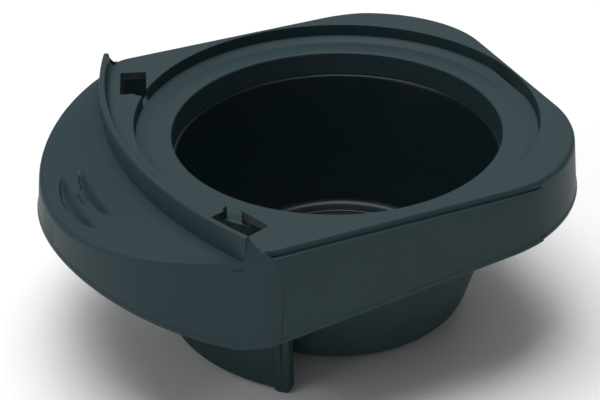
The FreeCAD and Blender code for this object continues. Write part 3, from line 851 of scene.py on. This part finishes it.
def grip_column(plan, grip, station):
    """All points of one column of the grip shell, from the rib down to the lower edge."""
    way, sign = station
    start = shoulder_start(plan, grip, way)
    level = plan.rail_step
    for _ in range(SETTLING):
        point, _ = grip_rim(plan, way, level)
        level = crease_depth(plan, grip, point)
    point, normal = grip_rim(plan, way, level)
    crease = Vector((point.x, point.y, -level))
    span = (crease - start).length
    soft = mix(EDGE_SOFT, grip.crease_round, ramp(way, 2.05, 2.8))
    soft = min(soft, span * 0.45)
    hollow = grip.dish * (1 - (min(abs(point.y) / plan.half_width, 1.0)) ** 2)
    rows = []
    for share in steps(SHOULDER_ROWS - 1):
        along = share * (1 - soft / span)
        spot = mix(start, crease, along)
        spot.z -= hollow * math.sin(math.pi * along)
        spot.z -= mark_hollow(grip, spot.x, spot.y * sign)
        rows.append(spot)
    first = rows[-1].copy()
    under, _ = grip_rim(plan, way, level + soft)
    last = Vector((under.x, under.y, -level - soft))
    for share in steps(CREASE_ROWS)[1:]:
        rows.append(mix(mix(first, crease, share), mix(crease, last, share), share))
    arch = grip.arch_drop + grip.arch_radius - math.sqrt(grip.arch_radius ** 2 - point.y ** 2)
    bottom = min(arch, lower_edge(plan, point.x))
    for up, out in lip_rows(plan):
        below, facing = grip_rim(plan, way, bottom - up)
        spot = below + facing * out
        rows.append(Vector((spot.x, spot.y, up - bottom)))
    return [Vector((spot.x, spot.y * sign, spot.z + DECK)) for spot in rows]


def build_grip(plan, grip, material):
    """Grip shell: shoulder with finger marks, rounded crease and the arched front skirt."""
    half = [share for share in steps(10)] + [1 + share for share in steps(14)[1:]]
    half += [2 + share for share in steps(160)[1:]]
    stations = [(way, -1) for way in half] + [(way, 1) for way in reversed(half[:-1])]
    columns = [grip_column(plan, grip, station) for station in stations]
    return drawn_shell("grip_shell", columns, plan.wall, Vector((0, 0, 1)), material)


# ---------------------------------------------------------------- side cheeks

def cheek_column(plan, x, sign, share):
    """All points of one column of a cheek: shelf, its rounded edge, wall and bead."""
    def rim(depth):
        flare = depth * math.tan(plan.side_draft)
        centre = plan.rear_reach + flare - plan.rear_corner
        if x <= centre:
            return Vector((x, side_half(plan, depth))), Vector((0.0, 1.0))
        return rear_rim(plan, corner_share(plan, x, depth), depth)

    level = plan.rail_step
    point, _ = rim(level)
    inner = min(plan.deck_half, point.y - 0.06 * MM)
    soft = min(EDGE_SOFT, (point.y - inner) * 0.6)
    start = Vector((x, inner, -level))
    crease = Vector((x, point.y, -level))
    first = mix(crease, start, soft / (point.y - inner))
    under, _ = rim(level + soft)
    last = Vector((x, under.y, -level - soft))
    rows = [start, mix(start, first, 0.5)]
    for way in steps(5):
        rows.append(mix(mix(first, crease, way), mix(crease, last, way), way))
    bottom = lower_edge(plan, x)
    for way in (0.2, 0.35, 0.5, 0.8):
        depth = mix(level + soft, bottom - plan.lip_height * LIP_PROFILE[0][0], way)
        spot, _ = rim(depth)
        rows.append(Vector((x, spot.y, -depth)))
    for up, out in lip_rows(plan):
        spot, facing = rim(bottom - up)
        rows.append(Vector((x, spot.y + facing.y * out, up - bottom)))
    corner = plan.rear_reach - plan.rear_corner
    behind = math.tan(plan.side_draft) * (plan.rear_seam - corner) / plan.rear_corner
    opens, fully = 4.6 * MM, 6.1 * MM
    for spot in rows:
        opened = plan.seam_gap * ramp(-spot.z, opens, fully)
        ahead = front_seam_x(plan, -spot.z) + plan.front_seam + opened
        spot.x += mix(ahead, -spot.z * behind, share)
    return [Vector((spot.x, spot.y * sign, spot.z + DECK)) for spot in rows]


def build_cheek(plan, sign, node, material):
    """Side cheek with the slide shelf along its top."""
    ahead, behind = -plan.front_seam, plan.rear_seam
    columns = []
    for share in steps(80):
        x = mix(ahead, behind - plan.seam_gap, share)
        columns.append(cheek_column(plan, x, sign, share))
    return drawn_shell(node, columns, plan.wall, Vector((0, sign, 0)), material)


# ---------------------------------------------------------------- finishes

class Value:
    """Shader socket that takes part in Python expressions."""

    def __init__(self, shader, socket):
        self.shader = shader
        self.socket = socket

    def _math(self, operation, first, second):
        return self.shader.node("ShaderNodeMath", {"operation": operation}, {0: first, 1: second})

    def __add__(self, other):
        return self._math("ADD", self, other)

    def __sub__(self, other):
        return self._math("SUBTRACT", self, other)

    def __mul__(self, other):
        return self._math("MULTIPLY", self, other)

    def __rsub__(self, other):
        return self._math("SUBTRACT", other, self)

    __radd__ = __add__
    __rmul__ = __mul__


class Shader:
    """Node tree of one finish, built node by node."""

    def __init__(self, name):
        self.material = bpy.data.materials.new(name)
        self.material.use_nodes = True
        self.tree = self.material.node_tree
        self.tree.nodes.clear()

    def node(self, kind, settings=None, sockets=None, output=0):
        """New node: its settings first, then its sockets' values or links; returns one output."""
        made = self.tree.nodes.new(kind)
        for name, value in (settings or {}).items():
            setattr(made, name, value)
        for name, value in (sockets or {}).items():
            if isinstance(value, Value):
                self.tree.links.new(value.socket, made.inputs[name])
            else:
                made.inputs[name].default_value = value
        return Value(self, made.outputs[output]) if made.outputs else None

    def place(self):
        """Object coordinates."""
        return self.node("ShaderNodeTexCoord", output="Object")

    def noise(self, place, scale, detail, roughness):
        """Noise value at a scale in cycles for each metre."""
        sockets = {"Vector": place, "Scale": scale, "Detail": detail, "Roughness": roughness}
        return self.node("ShaderNodeTexNoise", {"noise_dimensions": "3D"}, sockets)

    def mixed(self, share, first, second):
        """Colour between two colours."""
        sockets = {"Factor": share, 6: (*first, 1.0), 7: (*second, 1.0)}
        return self.node("ShaderNodeMix", {"data_type": "RGBA"}, sockets, output=2)

    def finish(self, base, roughness, bump, **constants):
        """Principled surface with its varying inputs; everything else is a constant."""
        height, strength, distance = bump
        normal = self.node("ShaderNodeBump", None,
                           {"Height": height, "Strength": strength, "Distance": distance})
        sockets = {"Base Color": base, "Roughness": roughness, "Normal": normal}
        sockets.update({name.replace("_", " "): value for name, value in constants.items()})
        surface = self.node("ShaderNodeBsdfPrincipled", None, sockets)
        self.node("ShaderNodeOutputMaterial", None, {"Surface": surface})
        return self.material


def shell_finish(colours):
    """Satin anthracite moulding: fine spark grain, faint flow marks and rubbed patches."""
    shader = Shader("anthracite_satin")
    place = shader.place()
    grain = shader.noise(place, SPARK_GRAIN, 2.0, 0.6)
    fine = shader.noise(place, FINE_GRAIN, 2.0, 0.55)
    flow = shader.noise(place, FLOW_MARKS, 4.0, 0.6)
    rubbed = flow * 0.7 + fine * 0.3
    base = shader.mixed(rubbed, colours.shell, colours.shell_worn)
    roughness = colours.shell_rough + (flow - 0.5) * 0.16 + (fine - 0.5) * 0.08
    height = grain * 0.6 + fine * 0.4
    return shader.finish(base, roughness, (height, 0.35, 0.06 * MM), IOR=1.5,
                         Specular_IOR_Level=0.14)


def liner_finish(colours):
    """Half-gloss liner with faint draw lines round its wall; its near-black colour is the liner's
    own dark moulding, made darker still as painted shade for the inside of the bore.
    """
    shader = Shader("dark_liner")
    place = shader.place()
    drawn = shader.node("ShaderNodeMapping", None, {"Vector": place, "Scale": (1.0, 1.0, 14.0)})
    rings = shader.noise(drawn, DRAW_LINES, 4.0, 0.6)
    fine = shader.noise(place, LINER_GRAIN, 2.0, 0.5)
    base = shader.mixed(rings, colours.liner, colours.liner_worn)
    roughness = colours.liner_rough + (rings - 0.5) * 0.12 + (fine - 0.5) * 0.05
    return shader.finish(base, roughness, (fine * 0.5 + rings * 0.5, 0.12, 0.02 * MM), IOR=1.5,
                         Specular_IOR_Level=0.2)


def floor_finish(colours):
    """Pale matt floor with the faintest mottling."""
    shader = Shader("pale_floor")
    place = shader.place()
    cloud = shader.noise(place, FLOOR_CLOUD, 3.0, 0.5)
    base = shader.mixed(cloud, colours.floor, [value * 0.985 for value in colours.floor])
    return shader.finish(base, 0.75 + (cloud - 0.5) * 0.05, (cloud, 0.02, 0.1 * MM))


def finish_named(name, make):
    """A finish, made once and shared."""
    return bpy.data.materials.get(name) or make(sizes("holder_finish"))


def shell_material():
    """The moulding's satin finish."""
    return finish_named("anthracite_satin", shell_finish)


# ---------------------------------------------------------------- operators

class HOLDER_OT_deck(Operator):
    """Model the deck shell with its rear skirt, recess collar and windows"""
    bl_idname = "holder.deck"
    bl_label = "Deck Shell"

    def execute(self, context):
        count = sizes("holder_stage").samples_round
        plan, deck, grip = sizes("holder_plan"), sizes("holder_deck"), sizes("holder_grip")
        build_deck(plan, deck, grip, shell_material(), count)
        return {"FINISHED"}


class HOLDER_OT_cup(Operator):
    """Model the turned pieces: seat ring, liner and cup housing"""
    bl_idname = "holder.cup"
    bl_label = "Seat, Liner and Cup"

    def execute(self, context):
        count = sizes("holder_stage").samples_round
        plan, deck, cup = sizes("holder_plan"), sizes("holder_deck"), sizes("holder_cup")
        build_seat(plan, deck, cup, shell_material(), count)
        build_liner(cup, finish_named("dark_liner", liner_finish), count)
        build_cup(deck, cup, shell_material(), count)
        return {"FINISHED"}


class HOLDER_OT_apron(Operator):
    """Model the drip apron and its two tabs"""
    bl_idname = "holder.apron"
    bl_label = "Drip Apron"

    def execute(self, context):
        build_apron(sizes("holder_deck"), sizes("holder_cup"), shell_material())
        return {"FINISHED"}


class HOLDER_OT_rib(Operator):
    """Model the stop rib across the grip"""
    bl_idname = "holder.rib"
    bl_label = "Stop Rib"

    def execute(self, context):
        build_rib(sizes("holder_plan"), sizes("holder_grip"), shell_material())
        return {"FINISHED"}


class HOLDER_OT_grip(Operator):
    """Model the grip shell with its finger marks"""
    bl_idname = "holder.grip"
    bl_label = "Grip Shell"

    def execute(self, context):
        build_grip(sizes("holder_plan"), sizes("holder_grip"), shell_material())
        return {"FINISHED"}


class HOLDER_OT_cheeks(Operator):
    """Model the two side cheeks with their slide shelves"""
    bl_idname = "holder.cheeks"
    bl_label = "Side Cheeks"

    def execute(self, context):
        for sign, node in ((1, "side_cheek_left"), (-1, "side_cheek_right")):
            build_cheek(sizes("holder_plan"), sign, node, shell_material())
        return {"FINISHED"}


class HOLDER_OT_stage(Operator):
    """Set up the floor, the lights and the camera"""
    bl_idname = "holder.stage"
    bl_label = "Stage"

    def execute(self, context):
        stage = sizes("holder_stage")
        build_floor(stage, sizes("holder_cup").tab_rise)
        build_lights()
        build_camera(stage)
        return {"FINISHED"}


def build_floor(stage, rise):
    """Plain floor under the apron's tabs, which end a little above the apron's lowest point."""
    bm = bmesh.new()
    bmesh.ops.create_grid(bm, x_segments=1, y_segments=1, size=stage.floor_size / 2)
    bmesh.ops.translate(bm, vec=(0, 0, GROUND + rise), verts=bm.verts)
    floor = new_piece("studio_floor", bm)
    floor.data.materials.append(finish_named("pale_floor", floor_finish))


def add_light(name, place, target, size, power):
    """Soft square light that looks at a point."""
    data = bpy.data.lights.new(name, "AREA")
    data.shape = "RECTANGLE"
    data.size, data.size_y = size
    data.energy = power
    light = bpy.data.objects.new(name, data)
    light.location = place
    light.rotation_euler = (Vector(target) - Vector(place)).to_track_quat("-Z", "Y").to_euler()
    bpy.context.scene.collection.objects.link(light)


def build_lights():
    """Even surround, with soft boxes above, behind, to the left and low in front."""
    world = bpy.data.worlds.new("studio")
    world.use_nodes = True
    sky = world.node_tree.nodes["Background"]
    sky.inputs["Color"].default_value = (1.0, 1.0, 1.0, 1.0)
    sky.inputs["Strength"].default_value = SKY_STRENGTH
    bpy.context.scene.world = world
    bpy.context.scene.view_settings.view_transform = "Standard"
    for light in LIGHTS:
        add_light(*light)


def build_camera(stage):
    """Camera at its heading, elevation and roll, without depth of field."""
    data = bpy.data.cameras.new("camera")
    data.lens = stage.lens
    data.sensor_width = 36.0
    data.clip_start = 0.01
    camera = bpy.data.objects.new("camera", data)
    turn_z = Matrix.Rotation(stage.heading, 4, "Z")
    look = Matrix.Rotation(math.pi / 2 - stage.elevation, 4, "X")
    roll = Matrix.Rotation(stage.roll, 4, "Z")
    camera.matrix_world = Matrix.Translation(Vector(stage.eye)) @ turn_z @ look @ roll
    bpy.context.scene.collection.objects.link(camera)
    bpy.context.scene.camera = camera


OPERATORS = (HOLDER_OT_deck, HOLDER_OT_cup, HOLDER_OT_apron, HOLDER_OT_rib, HOLDER_OT_grip,
             HOLDER_OT_cheeks, HOLDER_OT_stage)


class HOLDER_PT_panel(Panel):
    """Lists the pieces and the stage"""
    bl_idname = "HOLDER_PT_panel"
    bl_label = "Capsule Holder"
    bl_space_type = "VIEW_3D"
    bl_region_type = "UI"
    bl_category = "Holder"

    def draw(self, context):
        for operator in OPERATORS:
            self.layout.operator(operator.bl_idname)


PROPERTIES = {"holder_plan": PlanSizes, "holder_deck": DeckSizes, "holder_grip": GripSizes,
              "holder_cup": CupSizes, "holder_finish": FinishColours, "holder_stage": StageSizes}
CLASSES = (*GROUPS, *OPERATORS, HOLDER_PT_panel)


def register():
    """Add the classes and the scene's property groups."""
    for item in CLASSES:
        bpy.utils.register_class(item)
    for name, group in PROPERTIES.items():
        setattr(bpy.types.Scene, name, PointerProperty(type=group))


def unregister():
    """Take them away again."""
    for name in PROPERTIES:
        delattr(bpy.types.Scene, name)
    for item in reversed(CLASSES):
        bpy.utils.unregister_class(item)


def main():
    """Build every piece and the stage."""
    register()
    bpy.ops.holder.stage()
    bpy.ops.holder.deck()
    bpy.ops.holder.cup()
    bpy.ops.holder.apron()
    bpy.ops.holder.rib()
    bpy.ops.holder.grip()
    bpy.ops.holder.cheeks()
    bpy.context.view_layer.update()


if __name__ == "__main__":
    main()
